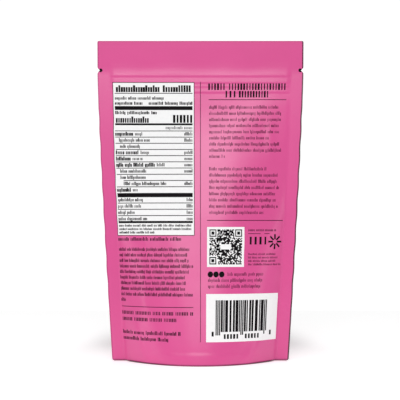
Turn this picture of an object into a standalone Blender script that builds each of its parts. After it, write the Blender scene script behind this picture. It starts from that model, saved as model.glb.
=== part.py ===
"""A shut stand-up pouch of printed film, filled and standing on its own base.

Lengths are in metres, +Z is up and the shown panel faces -Y.  The origin is
on the floor, at the middle of the base.  The pouch is one solid: two panels
that are sealed flat along both sides and across the header, lean apart below
the zip and stand on the lens-shaped rim of the gusset.
"""

import math

import bmesh
import bpy
from mathutils import Matrix

# Overall sizes
HEIGHT = 0.1567
HALF_WIDTH = 0.051
BASE_HALF_DEPTH = 0.0205
SIDE_SEAL = 0.006
FIN_HALF_THICKNESS = 0.00015

# Sides, which draw in towards the base as the panels bow apart
TAPER = 0.0083
TAPER_TOP = 0.140
TAPER_POWER = 1.18
CORNER_RADIUS = 0.001

# Bowed part of the panels, from the base to just under the zip
BELLY_TOP = 0.1305
BELLY_POWER = 1.0
BASE_SECTION_POWER = 2.15
PILLOW_SECTION_EXTRA = 0.75
SHOULDER_DEPTH = 0.0005
SHOULDER_RUN = 0.002

# Zip band: a crimped fold over three pressed tracks
FOLD_TOP = 0.1444
FOLD_CREST = 0.1401
FOLD_FOOT = 0.1386
FOLD_DEPTH = 0.0008
TRACK_CRESTS = (0.1370, 0.1344, 0.1319)
TRACK_DEPTH = 0.00032
TRACK_HALF_WIDTH = 0.0012
ZIP_END_RUN = 0.0018

# Header, which leans towards the shown side above the zip
HEADER_LEAN = 0.052
LEAN_FROM = 0.1380
LEAN_TO = 0.1420

# Soft unevenness of a film panel over its filling
RIPPLE_DEPTH = 0.0003
RIPPLE_LENGTH_X = 0.046
RIPPLE_LENGTH_Z = 0.062
RIPPLE_CALM_BASE = 0.020
RIPPLE_FADE_FROM = 0.105
RIPPLE_FADE_TO = 0.128
FRONT_PHASE = 0.7
REAR_PHASE = 2.9
PHASE_LEAN = 1.7

# Base: a flat rim around the folded gusset
RIM_WIDTH = 0.0030
RIM_SHARE = 0.4
GUSSET_RISE = 0.0035
GUSSET_FULL_DEPTH = 0.012

# Tear notches in the side seals
NOTCH_HEIGHT = 0.1421
NOTCH_DEPTH = 0.0009
NOTCH_HALF_MOUTH = 0.0012
NOTCH_CUTTER_HALF_DEPTH = 0.004

# Mesh density
PANEL_COLUMNS = 34
BELLY_ROWS = 26
TRACK_ROW_STEP = 0.00065
GUSSET_CUTS = 11
SHARP_EDGE_DEGREES = 40.0

FILM_COLOUR = (0.76, 0.12, 0.33, 1.0)
FILM_ROUGHNESS = 0.42


def clear_scene():
    """Remove every object that the open file holds."""
    for item in list(bpy.data.objects):
        bpy.data.objects.remove(item, do_unlink=True)


def new_collection(name):
    """Make a collection in the scene and return it."""
    collection = bpy.data.collections.new(name)
    bpy.context.scene.collection.children.link(collection)
    return collection


def film_material():
    """Return the pink laminate of the pouch."""
    material = bpy.data.materials.new("film")
    material.use_nodes = True
    shader = material.node_tree.nodes["Principled BSDF"]
    shader.inputs["Base Color"].default_value = FILM_COLOUR
    shader.inputs["Roughness"].default_value = FILM_ROUGHNESS
    shader.inputs["Metallic"].default_value = 0.0
    return material


def smooth_step(low, high, value):
    """Rise smoothly from 0 at low to 1 at high."""
    part = min(1.0, max(0.0, (value - low) / (high - low)))
    return part * part * (3.0 - 2.0 * part)


def half_width(z):
    """Half the width of the pouch at a height, with its rounded lower corners."""
    drawn_in = TAPER * max(0.0, 1.0 - z / TAPER_TOP) ** TAPER_POWER
    below_round = max(0.0, CORNER_RADIUS - z)
    rounding = CORNER_RADIUS - math.sqrt(CORNER_RADIUS ** 2 - below_round ** 2)
    return HALF_WIDTH - drawn_in - rounding


def fold_relief(z):
    """Height of the crimped fold above the zip: a long upper side, a steep lower one."""
    if z > FOLD_CREST:
        return FOLD_DEPTH * (1.0 - smooth_step(FOLD_CREST, FOLD_TOP, z))
    return FOLD_DEPTH * smooth_step(FOLD_FOOT, FOLD_CREST, z)


def track_relief(z):
    """Height of the three pressed zip tracks."""
    relief = 0.0
    for crest in TRACK_CRESTS:
        away = abs(z - crest) / TRACK_HALF_WIDTH
        if away < 1.0:
            relief += TRACK_DEPTH * math.cos(0.5 * math.pi * away) ** 2
    return relief


def belly_depth(z):
    """Half depth of the bowed pouch on its centre line at a height."""
    if z >= BELLY_TOP:
        return 0.0
    bow = BASE_HALF_DEPTH * (1.0 - z / BELLY_TOP) ** BELLY_POWER
    shoulder = SHOULDER_DEPTH * smooth_step(0.0, SHOULDER_RUN, BELLY_TOP - z)
    return bow + shoulder * z / BELLY_TOP


def ripple(x, z, phase):
    """Soft unevenness of one panel, still at the base rim and at the zip."""
    calm = (smooth_step(0.0, RIPPLE_CALM_BASE, z)
            * (1.0 - smooth_step(RIPPLE_FADE_FROM, RIPPLE_FADE_TO, z)))
    wave = (math.sin(2.0 * math.pi * x / RIPPLE_LENGTH_X + phase)
            * math.cos(2.0 * math.pi * z / RIPPLE_LENGTH_Z - PHASE_LEAN * phase))
    return RIPPLE_DEPTH * calm * wave


def panel_depth(x, z, phase):
    """Distance of one film panel from the middle plane.

    The seals lie flat.  Between them the panel bows out over the filling, with
    a lens-shaped section at the base and a fuller, pillow-like one above it.
    """
    inner = half_width(z) - SIDE_SEAL
    across = min(1.0, abs(x) / inner)
    power = BASE_SECTION_POWER + PILLOW_SECTION_EXTRA * math.sin(
        math.pi * min(1.0, z / BELLY_TOP))
    bow = 1.0 - across ** power
    zip_end = smooth_step(0.0, ZIP_END_RUN, inner - abs(x))
    relief = (fold_relief(z) + track_relief(z)) * zip_end
    return (FIN_HALF_THICKNESS + belly_depth(z) * bow + relief
            + ripple(x, z, phase) * bow)


def middle_plane(z):
    """Y of the plane halfway between the panels: upright, but for the leaning header."""
    over = max(0.0, z - LEAN_FROM)
    run = LEAN_TO - LEAN_FROM
    bend = min(over, run)
    return -HEADER_LEAN * (over - bend + 0.5 * bend ** 2 / run)


def row_heights():
    """Heights of the mesh rows: fine at the base corner and over the zip."""
    corner = [0.0, 0.35 * CORNER_RADIUS, CORNER_RADIUS]
    zip_rows = math.ceil((FOLD_TOP - BELLY_TOP) / TRACK_ROW_STEP)
    belly_step = (BELLY_TOP - SHOULDER_RUN - CORNER_RADIUS) / BELLY_ROWS
    belly = [CORNER_RADIUS + belly_step * (row + 1) for row in range(BELLY_ROWS)]
    shoulder = [BELLY_TOP - 0.5 * SHOULDER_RUN]
    zip_band = [BELLY_TOP + (FOLD_TOP - BELLY_TOP) * row / zip_rows
                for row in range(zip_rows + 1)]
    header = [0.5 * (FOLD_TOP + HEIGHT), HEIGHT]
    return corner + belly + shoulder + zip_band + header


def column_place(column, z):
    """X of a mesh column at a height: one column of seal at each side."""
    edge = half_width(z)
    if column == 0:
        return -edge
    if column == PANEL_COLUMNS + 2:
        return edge
    turn = math.pi * (column - 1) / PANEL_COLUMNS
    even = 2.0 * (column - 1) / PANEL_COLUMNS - 1.0
    across = 0.5 * (even - math.cos(turn))
    return across * (edge - SIDE_SEAL)


def gusset_point(step, depth):
    """Y and Z of the base at a step from the front rim, 0, to the rear one.

    The first and last steps are the flat rim.  Between them the gusset rises
    to its middle fold, less so where the base is narrow.
    """
    inside = depth - min(RIM_WIDTH, RIM_SHARE * depth)
    along = 2.0 * (step - 1) / (GUSSET_CUTS - 1) - 1.0
    rise = GUSSET_RISE * (1.0 - abs(along)) * min(1.0, inside / GUSSET_FULL_DEPTH)
    return along * inside, rise


def pouch_mesh():
    """Return the pouch's mesh: a flat slab of panels, opened out by the rules above."""
    heights = row_heights()
    columns = PANEL_COLUMNS + 2
    rows = len(heights) - 1
    form = bmesh.new()
    bmesh.ops.create_grid(form, x_segments=columns, y_segments=rows, size=1.0)
    grown = bmesh.ops.extrude_face_region(form, geom=form.faces[:], use_keep_orig=True)
    for item in grown["geom"]:
        if isinstance(item, bmesh.types.BMVert):
            item.co.z = 1.0

    def column_of(vertex):
        return round((vertex.co.x + 1.0) / 2.0 * columns)

    def row_of(vertex):
        return round((vertex.co.y + 1.0) / 2.0 * rows)

    base_edges = [edge for edge in form.edges
                  if row_of(edge.verts[0]) == 0 and row_of(edge.verts[1]) == 0
                  and abs(edge.verts[0].co.z - edge.verts[1].co.z) > 0.5
                  and 0 < column_of(edge.verts[0]) < columns]
    bmesh.ops.subdivide_edges(form, edges=base_edges, cuts=GUSSET_CUTS, use_grid_fill=True)

    for vertex in form.verts:
        z = heights[row_of(vertex)]
        x = column_place(column_of(vertex), z)
        towards_rear = vertex.co.z
        front = middle_plane(z) - panel_depth(x, z, FRONT_PHASE)
        rear = middle_plane(z) + panel_depth(x, z, REAR_PHASE)
        y = front if towards_rear < 0.5 else rear
        if 0.0 < towards_rear < 1.0:
            step = round(towards_rear * (GUSSET_CUTS + 1))
            y, z = gusset_point(step, rear)
        vertex.co = (x, y, z)
    bmesh.ops.recalc_face_normals(form, faces=form.faces[:])

    mesh = bpy.data.meshes.new("pouch")
    form.to_mesh(mesh)
    form.free()
    mesh.shade_smooth()
    mesh.set_sharp_from_angle(angle=math.radians(SHARP_EDGE_DEGREES))
    return mesh


def notch_cutter(side, collection):
    """Make the four-sided prism that cuts one tear notch, on side -1 or +1."""
    form = bmesh.new()
    bmesh.ops.create_cube(form, size=math.sqrt(2.0))
    place = (Matrix.Translation((side * HALF_WIDTH, 0.0, NOTCH_HEIGHT))
             @ Matrix.Diagonal((NOTCH_DEPTH, NOTCH_CUTTER_HALF_DEPTH, NOTCH_HALF_MOUTH, 1.0))
             @ Matrix.Rotation(math.radians(45.0), 4, "Y"))
    bmesh.ops.transform(form, matrix=place, verts=form.verts[:])
    mesh = bpy.data.meshes.new("notch_cutter")
    form.to_mesh(mesh)
    form.free()
    cutter = bpy.data.objects.new("notch_cutter", mesh)
    cutter.hide_render = True
    cutter.display_type = "WIRE"
    collection.objects.link(cutter)
    return cutter


def build_pouch():
    """Make the pouch and cut its two tear notches."""
    parts = new_collection("stand_up_pouch")
    cutters = new_collection("cutters")
    pouch = bpy.data.objects.new("pouch", pouch_mesh())
    pouch.data.materials.append(film_material())
    parts.objects.link(pouch)
    for side in (-1, 1):
        cut = pouch.modifiers.new("tear_notch", "BOOLEAN")
        cut.operation = "DIFFERENCE"
        cut.solver = "EXACT"
        cut.object = notch_cutter(side, cutters)


clear_scene()
build_pouch()
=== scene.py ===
"""Looks of a shut stand-up pouch of printed pink film that stands on its own base.

Lengths are in metres.  The shown panel faces -Y and the floor is Z = 0.  The
print is laid out as flat art, in millimetres from the middle line and from the
base, and every ink is a thin closed slab that is then laid on the film.
"""

from __future__ import annotations

import logging
import math
import random
from collections.abc import Callable, Iterable
from dataclasses import dataclass, field, replace
from enum import Enum

import bmesh
import bpy
from mathutils import Matrix, Vector

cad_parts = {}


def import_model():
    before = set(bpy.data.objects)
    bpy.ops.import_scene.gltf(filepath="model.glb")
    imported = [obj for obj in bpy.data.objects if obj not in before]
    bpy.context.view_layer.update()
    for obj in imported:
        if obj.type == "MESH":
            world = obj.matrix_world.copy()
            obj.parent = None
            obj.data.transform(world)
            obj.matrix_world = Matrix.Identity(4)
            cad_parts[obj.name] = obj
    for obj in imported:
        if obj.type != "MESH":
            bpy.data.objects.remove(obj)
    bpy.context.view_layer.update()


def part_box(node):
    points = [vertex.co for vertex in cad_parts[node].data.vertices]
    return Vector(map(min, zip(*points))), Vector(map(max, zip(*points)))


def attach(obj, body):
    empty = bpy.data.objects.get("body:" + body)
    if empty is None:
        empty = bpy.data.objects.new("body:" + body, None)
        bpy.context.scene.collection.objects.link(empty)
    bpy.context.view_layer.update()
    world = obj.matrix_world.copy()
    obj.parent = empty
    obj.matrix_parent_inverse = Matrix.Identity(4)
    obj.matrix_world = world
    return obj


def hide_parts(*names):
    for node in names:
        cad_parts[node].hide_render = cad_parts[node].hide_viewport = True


log = logging.getLogger("pouch")

NODE = "pouch"
BODY = "root"
MM = 0.001

# The header stays this far under the solid's top and the bowed panels this far inside its
# faces, which leaves room for the header's lean and for the film's relief.
LEAN_DROP = 0.0002
SWELL_ROOM = 0.0009

# Longest edges of the printed slabs' faces, in millimetres, with finer rows in a slab that
# reaches the zip.
FACE_EDGE = 0.9
ZIP_FACE_EDGE = 0.3
ZIP_START = 128.0

# Marks are set a little closer than their pitch, so that rounding never drops a word's last
# one, and a word takes up the rest of its line where fewer marks than these would be left.
LINE_SLACK = 0.98
LEAST_REST = 3

# Stands a flat shape upright, in the plane of X and Z.
UPRIGHT = Matrix.Rotation(math.radians(90.0), 4, "X")


class Layer(Enum):
    """Lowest and highest place of a printed layer over the film, in metres."""

    GROUND = (-0.00003, 0.00003)
    PANEL = (-0.00002, 0.00006)
    DIRECT = (-0.00002, 0.00004)
    OVERPRINT = (0.00003, 0.00009)

    @property
    def sizes(self) -> dict[str, float]:
        """Return the inputs of a recipe that prints in this layer."""
        low, high = self.value
        return {"Low": low, "High": high}


class Side(Enum):
    """The panel that faces the camera and the one behind it, by the sign of Y."""

    SHOWN = -1.0
    HIDDEN = 1.0


def operator(operation: str, turned: bool = False) -> Callable[[Value, Number], Value]:
    """Return a method of Value for one of Python's operators.

    Args:
        operation: the Math node's operation.
        turned: whether the value stands on the operator's right.

    Returns:
        The method.
    """

    def join(value: Value, other: Number) -> Value:
        """Add the node and return its result."""
        return value.nodes.maths(operation, *((other, value) if turned else (value, other)))

    return join


class Value:
    """A number socket of a node tree, for use in Python expressions."""

    __add__ = operator("ADD")
    __radd__ = operator("ADD", turned=True)
    __sub__ = operator("SUBTRACT")
    __rsub__ = operator("SUBTRACT", turned=True)
    __mul__ = operator("MULTIPLY")
    __rmul__ = operator("MULTIPLY", turned=True)
    __truediv__ = operator("DIVIDE")
    __rtruediv__ = operator("DIVIDE", turned=True)

    def __init__(self, nodes: Nodes, socket: bpy.types.NodeSocket) -> None:
        """Hold the socket and the tree that it is in."""
        self.nodes = nodes
        self.socket = socket

    def __neg__(self) -> Value:
        """Turn the sign round."""
        return self * -1.0


Number = float | Value


class Nodes:
    """A node tree with one method that adds any node."""

    def __init__(self, tree: bpy.types.NodeTree) -> None:
        """Hold the tree."""
        self.tree = tree

    def add(self, kind: str, settings: dict | None = None,
            inputs: dict | None = None) -> bpy.types.Node:
        """Add a node.

        Args:
            kind: the node's type.
            settings: its own properties, which are set first.
            inputs: a value, socket or node for each input, by name or number.

        Returns:
            The node.
        """
        node = self.tree.nodes.new(kind)
        for name, setting in (settings or {}).items():
            setattr(node, name, setting)
        for key, given in (inputs or {}).items():
            self.feed(node.inputs[key], given)
        return node

    def feed(self, socket: bpy.types.NodeSocket, given: object) -> None:
        """Give an input its source.

        Args:
            socket: the input.
            given: a Value, a socket, a node whose first output is meant, or a plain setting.
        """
        if isinstance(given, Value):
            given = given.socket
        if isinstance(given, bpy.types.Node):
            given = given.outputs[0]
        if isinstance(given, bpy.types.NodeSocket):
            self.tree.links.new(given, socket)
        else:
            socket.default_value = given

    def maths(self, operation: str, *terms: Number) -> Value:
        """Add a Math node on numbers or values and return its result."""
        node = self.add("ShaderNodeMath", {"operation": operation}, dict(enumerate(terms)))
        return Value(self, node.outputs[0])

    def vector_maths(self, operation: str, inputs: dict) -> bpy.types.Node:
        """Add a Vector Math node."""
        return self.add("ShaderNodeVectorMath", {"operation": operation}, inputs)

    def vector(self, x: Number, y: Number, z: Number) -> bpy.types.Node:
        """Join three numbers into a vector."""
        return self.add("ShaderNodeCombineXYZ", {}, {"X": x, "Y": y, "Z": z})

    def parts(self, vector: object) -> tuple[Value, Value, Value]:
        """Split a vector into its three numbers."""
        node = self.add("ShaderNodeSeparateXYZ", {}, {0: vector})
        return tuple(Value(self, output) for output in node.outputs)

    def noise(self, place: object, scale: float, detail: float = 2.0) -> Value:
        """Add a noise pattern, from 0 to 1, with a number of patches to the metre."""
        inputs = {"Vector": place, "Scale": scale, "Detail": detail}
        return Value(self, self.add("ShaderNodeTexNoise", {}, inputs).outputs[0])

    def blend(self, share: Number, first: object, second: object) -> bpy.types.NodeSocket:
        """Mix two colours by a share and return the mixed colour."""
        inputs = {0: share, 6: first, 7: second}
        return self.add("ShaderNodeMix", {"data_type": "RGBA"}, inputs).outputs[2]


def for_both(operation: str, plain: Callable[..., float]) -> Callable[..., Number]:
    """Return a function that works on numbers and on node values alike.

    Args:
        operation: the Math node's operation, for where a term is a value.
        plain: the same function for numbers alone.

    Returns:
        The function, which gives a number where all its terms are numbers.
    """

    def work_out(*terms: Number) -> Number:
        """Work out the function.

        Args:
            terms: its terms, in order.

        Returns:
            A number, or a value where one of the terms is a value.
        """
        for term in terms:
            if isinstance(term, Value):
                return term.nodes.maths(operation, *terms)
        return plain(*terms)

    return work_out


sine = for_both("SINE", math.sin)
cosine = for_both("COSINE", math.cos)
least = for_both("MINIMUM", min)
most = for_both("MAXIMUM", max)
size_of = for_both("ABSOLUTE", abs)
power = for_both("POWER", pow)
above = for_both("GREATER_THAN", lambda term, level: float(term > level))


def share_of(term: Number) -> Number:
    """Keep a term between 0 and 1."""
    return least(1.0, most(0.0, term))


def smooth_step(low: float, high: float, term: Number) -> Number:
    """Rise smoothly from 0 at low to 1 at high."""
    part = share_of((term - low) / (high - low))
    return part * part * (3.0 - 2.0 * part)


def bell(distance: Number) -> Number:
    """Fall smoothly from 1 at no distance towards 0, with 0.37 left at a distance of 1."""
    return power(math.e, -(distance * distance))


def wave(term: Number, length: float, phase: Number = 0.0) -> Number:
    """Swing between -1 and 1 as a sine wave of a length."""
    return sine(term * (2.0 * math.pi / length) + phase)


def eased(distance: Number, run: float) -> Number:
    """Grow with a distance, at a slope that itself grows from 0 to 1 over a first run.

    Args:
        distance: the distance, which counts as 0 below 0.
        run: the length of the first run.

    Returns:
        0 at no distance, and the distance less half the run from there on.
    """
    past = most(0.0, distance)
    bend = least(past, run)
    return past - bend + 0.5 * bend * bend / run


@dataclass(frozen=True)
class Crease:
    """A soft wrinkle in the shown film: a low ridge, or a groove where its height is below 0."""

    x: float
    z: float
    length: float
    width: float
    lean: float
    height: float

    def relief(self, x: Number, z: Number) -> Number:
        """Return the height of the wrinkle at a point of the panel.

        Args:
            x: the point's distance from the middle line.
            z: the point's height over the base.

        Returns:
            How far the film stands out there.
        """
        turn = math.radians(self.lean)
        along = (x - self.x) * math.sin(turn) + (z - self.z) * math.cos(turn)
        across = (x - self.x) * math.cos(turn) - (z - self.z) * math.sin(turn)
        return self.height * bell(across / self.width) * bell(along / self.length)


@dataclass(frozen=True)
class FilmRule:
    """The rule that both panels follow, for numbers and for node values alike."""

    half_width_top: float
    height: float
    base_half_depth: float
    side_seal: float = 0.006
    fin: float = 0.00015
    taper: float = 0.0083
    taper_top: float = 0.140
    taper_power: float = 1.18
    corner: float = 0.001
    top_corner: float = 0.0007
    belly_top: float = 0.1270
    belly_ramp: float = 0.0270
    belly_power: float = 0.92
    base_section: float = 2.15
    pillow_section: float = 0.75
    pillow_power: float = 0.5
    fold_top: float = 0.1464
    fold_crest: float = 0.1402
    fold_depth: float = 0.00021
    fold_power: float = 1.7
    fold_sway: float = 0.0003
    fold_sway_length: float = 0.058
    fold_swell: float = 0.26
    fold_swell_length: float = 0.0254
    fold_swell_phase: float = -1.25
    fold_reach: float = 0.0009
    zip_drops: tuple[tuple[float, float], ...] = (
        (0.1390, 0.00014), (0.1357, 0.00012), (0.1337, 0.00009), (0.1309, 0.00013))
    zip_drop_half: float = 0.00065
    zip_slope: float = 0.024
    zip_foot: float = 0.1250
    zip_end_run: float = 0.0020
    ripple_depth: float = 0.00012
    ripple_length_x: float = 0.046
    ripple_length_z: float = 0.062
    ripple_calm_base: float = 0.020
    ripple_fade: tuple[float, float] = (0.105, 0.128)
    phase_middle: float = 1.8
    phase_swing: float = 1.1
    phase_lean: float = 1.7
    foot_flare: float = 0.00012
    foot_rows: tuple[float, float] = (0.0046, 0.0062)
    foot_half_width: float = 0.034
    notch_height: float = 0.1421
    notch_depth: float = 0.0012
    notch_half_mouth: float = 0.0015
    notch_roundness: float = 1.3
    header_lean: float = 0.105
    lean_rows: tuple[float, float] = (0.1395, 0.1440)
    edge_sway: float = 0.00012
    edge_sway_length: float = 0.0135
    edge_sway_rows: tuple[float, float, float, float] = (0.020, 0.040, 0.118, 0.130)
    heel_height: float = 0.00016
    heel_width: float = 0.00055
    heel_lines: tuple[float, float] = (0.0002, 0.0017)
    heel_rows: tuple[float, float] = (0.012, 0.034)
    creases: tuple[Crease, ...] = (
        Crease(0.0240, 0.1155, 0.0220, 0.0085, 50.0, 0.00062),
        Crease(-0.0270, 0.0430, 0.0230, 0.0030, 0.0, 0.00045),
        Crease(0.0365, 0.0655, 0.0060, 0.0013, 38.0, 0.00022),
        Crease(0.0345, 0.1090, 0.0080, 0.0020, 0.0, 0.00040),
        Crease(-0.0010, 0.0080, 0.0260, 0.0220, 0.0, 0.00060),
        Crease(-0.0010, 0.0000, 0.0130, 0.0240, 0.0, 0.00055),
        Crease(0.0262, 0.0070, 0.0120, 0.0032, 34.0, 0.00150),
        Crease(-0.0290, 0.0110, 0.0150, 0.0030, -20.0, 0.00130),
        Crease(-0.0260, 0.0270, 0.0050, 0.0015, -40.0, 0.00018),
        Crease(-0.0385, 0.0390, 0.0070, 0.0016, -20.0, -0.00020),
    )
    print_spread: float = 0.011
    spread_rows: tuple[float, float] = (0.100, 0.130)
    print_drift: float = 0.00035
    drift_middle: float = 0.045
    drift_length: float = 0.170

    def half_width(self, z: Number) -> Number:
        """Return half the pouch's width at a height, with its rounded corners.

        Args:
            z: height over the base.

        Returns:
            The distance from the middle line to the side's cut edge.
        """
        drawn_in = self.taper * power(most(0.0, 1.0 - z / self.taper_top), self.taper_power)
        under = most(0.0, self.corner - z)
        over = most(0.0, z - self.height + self.top_corner)
        rounding = (self.corner - power(most(0.0, self.corner ** 2 - under * under), 0.5)
                    + self.top_corner
                    - power(most(0.0, self.top_corner ** 2 - over * over), 0.5))
        low, full, late, high = self.edge_sway_rows
        sway = (self.edge_sway * wave(z, self.edge_sway_length)
                * smooth_step(low, full, z) * (1.0 - smooth_step(late, high, z)))
        return self.half_width_top - drawn_in - rounding + sway

    def notch(self, z: Number) -> Number:
        """Return how deep the tear notch is cut at a height."""
        near = most(0.0, 1.0 - size_of(z - self.notch_height) / self.notch_half_mouth)
        return self.notch_depth * power(near, self.notch_roundness)

    def fold(self, x: Number, z: Number) -> Number:
        """Return the relief of the crimped fold, which is steepest next to its crest.

        Args:
            x: distance from the middle line.
            z: height over the base.

        Returns:
            How far the fold stands out.
        """
        level = z + self.fold_sway * wave(x, self.fold_sway_length)
        swell = wave(x, self.fold_swell_length, self.fold_swell_phase)
        top = self.fold_top + self.fold_reach * swell
        climb = share_of((top - level) / (top - self.fold_crest))
        return self.fold_depth * (1.0 + self.fold_swell * swell) * power(climb, self.fold_power)

    def zip_steps(self, z: Number) -> Number:
        """Return the relief of the pressed tracks: slow climbs between short drops.

        Args:
            z: height over the base.

        Returns:
            How far the tracks stand out.
        """
        under = self.fold_crest - most(self.zip_foot, least(z, self.fold_crest))
        relief = self.zip_slope * under
        half = self.zip_drop_half
        for height, drop in self.zip_drops:
            relief = relief - drop * (1.0 - smooth_step(height - half, height + half, z))
        return relief

    def belly(self, z: Number) -> Number:
        """Return the depth of the bowed panel on the middle line.

        Args:
            z: height over the base.

        Returns:
            The depth at that height.
        """
        drawn = eased(self.belly_top - z, self.belly_ramp)
        full = self.belly_top - 0.5 * self.belly_ramp
        return self.base_half_depth * power(drawn / full, self.belly_power)

    def section(self, x: Number, z: Number) -> Number:
        """Return how far the panel bows at a point, as a share of its depth at that height.

        Args:
            x: distance from the middle line.
            z: height over the base.

        Returns:
            0 at the seals and 1 in the middle.
        """
        inner = self.half_width(z) - self.side_seal
        across = least(1.0, size_of(x) / inner)
        swelling = power(sine(math.pi * share_of(z / self.belly_top)), self.pillow_power)
        pillow = self.pillow_section * swelling
        return 1.0 - power(across, self.base_section + pillow)

    def middle(self, z: Number) -> Number:
        """Return the Y of the middle plane: upright, but for a header that leans forward."""
        low, high = self.lean_rows
        return -self.header_lean * eased(z - low, high - low)

    def depth(self, x: Number, z: Number, side: Number, unevenness: Number = 0.0) -> Number:
        """Return the distance of the film from the middle plane.

        Args:
            x: distance from the middle line.
            z: height over the base.
            side: -1 for the shown panel and 1 for the hidden one.
            unevenness: extra relief where the film is free.

        Returns:
            The distance of the film's outer face.
        """
        inner = self.half_width(z) - self.side_seal
        bow = self.section(x, z)
        zip_end = smooth_step(0.0, self.zip_end_run, inner - size_of(x))
        phase = self.phase_middle + self.phase_swing * side
        calm = (smooth_step(0.0, self.ripple_calm_base, z)
                * (1.0 - smooth_step(*self.ripple_fade, z)))
        ripple = (wave(x, self.ripple_length_x, phase)
                  * cosine(z * (2.0 * math.pi / self.ripple_length_z) - self.phase_lean * phase))
        seen = -(x * side)
        folds = sum(crease.relief(seen, z) for crease in self.creases)
        flare = (self.foot_flare * (1.0 - smooth_step(*self.foot_rows, z))
                 * bell(x / self.foot_half_width))
        zip_relief = (self.fold(x, z) + self.zip_steps(z)) * zip_end * share_of(z / self.zip_foot)
        heel = sum(bell((inner - line - size_of(x)) / self.heel_width)
                   for line in self.heel_lines)
        pressed = self.heel_height * heel * (1.0 - smooth_step(*self.heel_rows, z))
        return (self.fin + self.belly(z) * bow + zip_relief + pressed
                + (self.ripple_depth * calm * ripple + flare + folds + unevenness) * bow)

    def print_place(self, across: Number, up: Number) -> tuple[Number, Number]:
        """Say where a point of the flat art lies on the film.

        Args:
            across: the art's distance from the middle line.
            up: the art's height over the base.

        Returns:
            The film's own distance from the middle line and height.
        """
        spread = 1.0 + self.print_spread * (1.0 - smooth_step(*self.spread_rows, up))
        x = across * self.half_width(up) / self.half_width_top * spread
        drift = self.print_drift * wave(up - self.drift_middle, self.drift_length)
        return x, up - drift * self.section(x, up) * above(self.belly_top, up)


SOCKET_KINDS = {
    float: "NodeSocketFloat",
    int: "NodeSocketInt",
    tuple: "NodeSocketVector",
}


class Recipe(Nodes):
    """A Geometry Nodes tree with named inputs for its sizes."""

    def __init__(self, name: str, sizes: dict[str, float | int | tuple],
                 shapes: bool = True) -> None:
        """Make the tree and its inputs.

        Args:
            name: the tree's name.
            sizes: the default of each named input.
            shapes: whether it takes and gives geometry, and has a Finish input.
        """
        super().__init__(bpy.data.node_groups.new(name, "GeometryNodeTree"))
        self.name = name
        if shapes:
            self.socket("Geometry", "INPUT", "NodeSocketGeometry")
            self.socket("Finish", "INPUT", "NodeSocketMaterial")
            self.socket("Geometry", "OUTPUT", "NodeSocketGeometry")
        for label, size in sizes.items():
            self.socket(label, "INPUT", SOCKET_KINDS[type(size)]).default_value = size
        self.entry = self.add("NodeGroupInput")
        self.exit = self.add("NodeGroupOutput")

    def socket(self, label: str, way: str, kind: str) -> bpy.types.NodeTreeInterfaceSocket:
        """Add one socket to the tree's interface."""
        return self.tree.interface.new_socket(name=label, in_out=way, socket_type=kind)

    def __getitem__(self, label: str) -> Value:
        """Return a named input as a value."""
        return Value(self, self.entry.outputs[label])

    def give(self, label: str, kind: str, given: object) -> None:
        """Add an output and give it its source."""
        self.socket(label, "OUTPUT", kind)
        self.feed(self.exit.inputs[label], given)

    def call(self, other: Recipe, inputs: dict) -> bpy.types.Node:
        """Use another recipe inside this one."""
        return self.add("GeometryNodeGroup", {"node_tree": other.tree}, inputs)

    def close(self, geometry: object) -> None:
        """End the tree: realize what is instanced, and set the finish.

        Args:
            geometry: the finished geometry.
        """
        real = self.add("GeometryNodeRealizeInstances", {}, {"Geometry": geometry})
        dressed = self.add("GeometryNodeSetMaterial", {},
                           {"Geometry": real, "Material": self["Finish"]})
        self.feed(self.exit.inputs["Geometry"], dressed)

    def draw(self, seed: Value) -> Value:
        """Add a random number from 0 to 1 for each point."""
        node = self.add("FunctionNodeRandomValue", {"data_type": "FLOAT"}, {8: seed})
        return Value(self, node.outputs[1])

    def grid(self, columns: Number, rows: Number) -> bpy.types.Node:
        """Add a flat grid of cells of a side of 1."""
        return self.add("GeometryNodeMeshGrid", {}, {
            "Size X": columns, "Size Y": rows,
            "Vertices X": columns + 1.0, "Vertices Y": rows + 1.0})

    def cell(self, columns: Number, rows: Number) -> tuple[Value, Value]:
        """Return each point's column and row in such a grid, counted from 0."""
        across, up, _ = self.parts(self.add("GeometryNodeInputPosition"))
        return across + 0.5 * columns, up + 0.5 * rows

    def move(self, geometry: object, **way: object) -> bpy.types.Node:
        """Move each point of a geometry to its Position, or by its Offset."""
        return self.add("GeometryNodeSetPosition", {}, {"Geometry": geometry, **way})

    def layer(self) -> tuple[Value, Value]:
        """Return the Y and the thickness of the printed layer that Low and High name."""
        return -0.5 * (self["High"] + self["Low"]), self["High"] - self["Low"]

    def make(self, name: str, base: bpy.types.Mesh, finish: bpy.types.Material,
             sizes: dict[str, float | int]) -> bpy.types.Object:
        """Run the recipe and keep its result as a plain mesh.

        Args:
            name: the piece's name.
            base: the mesh that the recipe starts from.
            finish: the piece's material.
            sizes: what the named inputs are set to.

        Returns:
            The piece, with no modifier left on it.
        """
        piece = bpy.data.objects.new(name, base)
        bpy.context.scene.collection.objects.link(piece)
        modifier = piece.modifiers.new(self.name, "NODES")
        modifier.node_group = self.tree
        given = {**sizes, "Finish": finish}
        for item in self.tree.interface.items_tree:
            if item.in_out == "INPUT" and item.name in given:
                modifier[item.identifier] = given[item.name]
        graph = bpy.context.evaluated_depsgraph_get()
        mesh = bpy.data.meshes.new_from_object(piece.evaluated_get(graph))
        piece.modifiers.remove(modifier)
        piece.data = mesh
        bpy.data.meshes.remove(base)
        mesh.name = name
        return piece


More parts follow.
